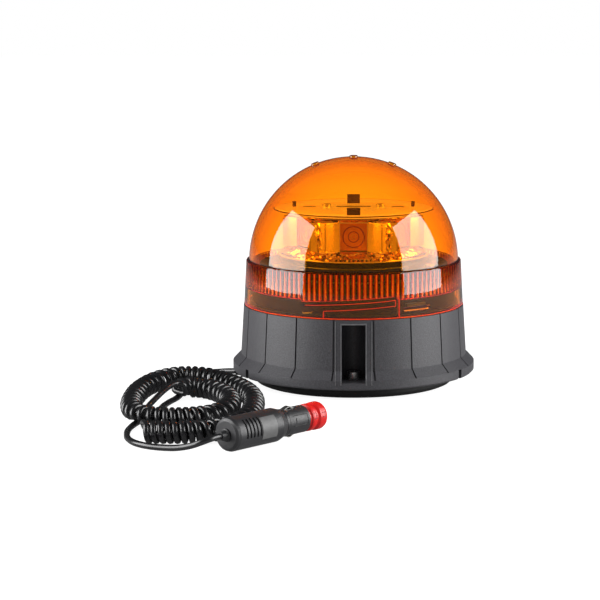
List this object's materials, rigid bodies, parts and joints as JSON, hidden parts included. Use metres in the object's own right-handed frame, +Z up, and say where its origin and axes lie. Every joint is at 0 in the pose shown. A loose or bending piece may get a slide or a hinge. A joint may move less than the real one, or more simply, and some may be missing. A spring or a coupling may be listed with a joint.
{
  "type": "warning beacon",
  "caption": "Amber domed LED warning beacon on a round magnetic foot, with a curly cord and a plug for a vehicle socket.",
  "frame": {"origin": "centre of the magnet pad's underside, on the beacon's axis", "axes": "+Z up along the beacon's axis; the front bolt pocket faces -Y; the cord lies towards -X and -Y"},
  "size_m": [0.239, 0.334, 0.1595],
  "materials": {
    "base_plastic": "fine moulded grain, satin",
    "deck_black": "satin black",
    "rubber_black": "moulded rubber",
    "steel_zinc": "zinc plated",
    "steel_black": "black coated steel",
    "ferrite": "sintered",
    "pcb_green": "solder mask",
    "pcb_white": "solder mask",
    "component_dark": "moulded",
    "terminal_green": "moulded",
    "wire_red": "insulation",
    "aluminium_plain": "machined",
    "mirror_plastic": "vacuum metallised",
    "led_yellow": "phosphor",
    "optic_clear": "clear moulded optic",
    "disc_white": "glossy",
    "clip_brown": "moulded",
    "lens_amber": "clear amber, high gloss",
    "plug_black": "fine moulded grain",
    "plug_grey": "blank plate",
    "plug_red": "semi-gloss",
    "contact_metal": "nickel plated",
    "fuse_glass": "clear tube",
    "cord_black": "glossy sheath"
  },
  "bodies": {
    "beacon": {"base_housing": "base_plastic", "deck_plate": "deck_black", "deck_screws": "steel_zinc", "bottom_plate": "deck_black", "base_gasket": "rubber_black", "lens_gasket": "rubber_black", "magnet_pad": "rubber_black", "ring_magnet": "ferrite", "pole_ring": "steel_zinc", "pole_disc": "steel_zinc", "magnet_backplate": "steel_black", "foot_screws": "steel_zinc", "foot_washers": "steel_zinc", "cable_gland": "rubber_black", "lead_wires": "wire_red", "vent_plug": "component_dark", "driver_board": "pcb_green", "board_posts": "aluminium_plain", "board_screws": "steel_zinc", "driver_capacitors": "component_dark", "driver_inductor": "component_dark", "driver_chips": "component_dark", "terminal_block": "terminal_green", "module_wires": "wire_red", "heat_sink": "aluminium_plain", "reflector_base": "disc_white", "lower_reflector": "mirror_plastic", "upper_reflector": "mirror_plastic", "reflector_ring": "mirror_plastic", "led_boards": "pcb_white", "led_chips": "led_yellow", "collimator_lenses": "optic_clear", "top_disc": "disc_white", "top_disc_screws": "steel_zinc", "top_clips": "clip_brown", "top_posts": "clip_brown", "plug_body": "plug_black", "plug_strain_relief": "plug_black", "plug_label_plate": "plug_grey", "plug_fuse": "fuse_glass", "plug_nose": "plug_black", "cord_lead": "cord_black", "cord_curl": "cord_black", "cord_tail": "cord_black"},
    "lens": {"lens": "lens_amber"},
    "adapter": {"plug_adapter": "plug_red"},
    "tip": {"tip_contact": "contact_metal", "tip_spring": "contact_metal"},
    "spring_up": {"earth_spring_upper": "contact_metal"},
    "spring_low": {"earth_spring_lower": "contact_metal"}
  },
  "joints": [
    {"name": "lens_twist", "type": "hinge", "parent": "beacon", "child": "lens", "pos_m": [0, 0, 0.06], "axis": [0, 0, 1], "range_deg": [0, 20]},
    {"name": "adapter_pull", "type": "slide", "parent": "beacon", "child": "adapter", "axis": [0.6691, 0.7431, 0], "range_m": [0, 0.014]},
    {"name": "tip_press", "type": "slide", "parent": "beacon", "child": "tip", "axis": [-0.6691, -0.7431, 0], "range_m": [0, 0.003], "stiffness_N_per_m": 300},
    {"name": "upper_spring_press", "type": "hinge", "parent": "beacon", "child": "spring_up", "pos_m": [-0.04588, -0.20083, 0.01815], "axis": [0.7431, -0.6691, 0], "range_deg": [-6, 0], "stiffness_Nm_per_rad": 0.3},
    {"name": "lower_spring_press", "type": "hinge", "parent": "beacon", "child": "spring_low", "pos_m": [-0.04588, -0.20083, 0.00355], "axis": [-0.7431, 0.6691, 0], "range_deg": [-6, 0], "stiffness_Nm_per_rad": 0.3}
  ]
}
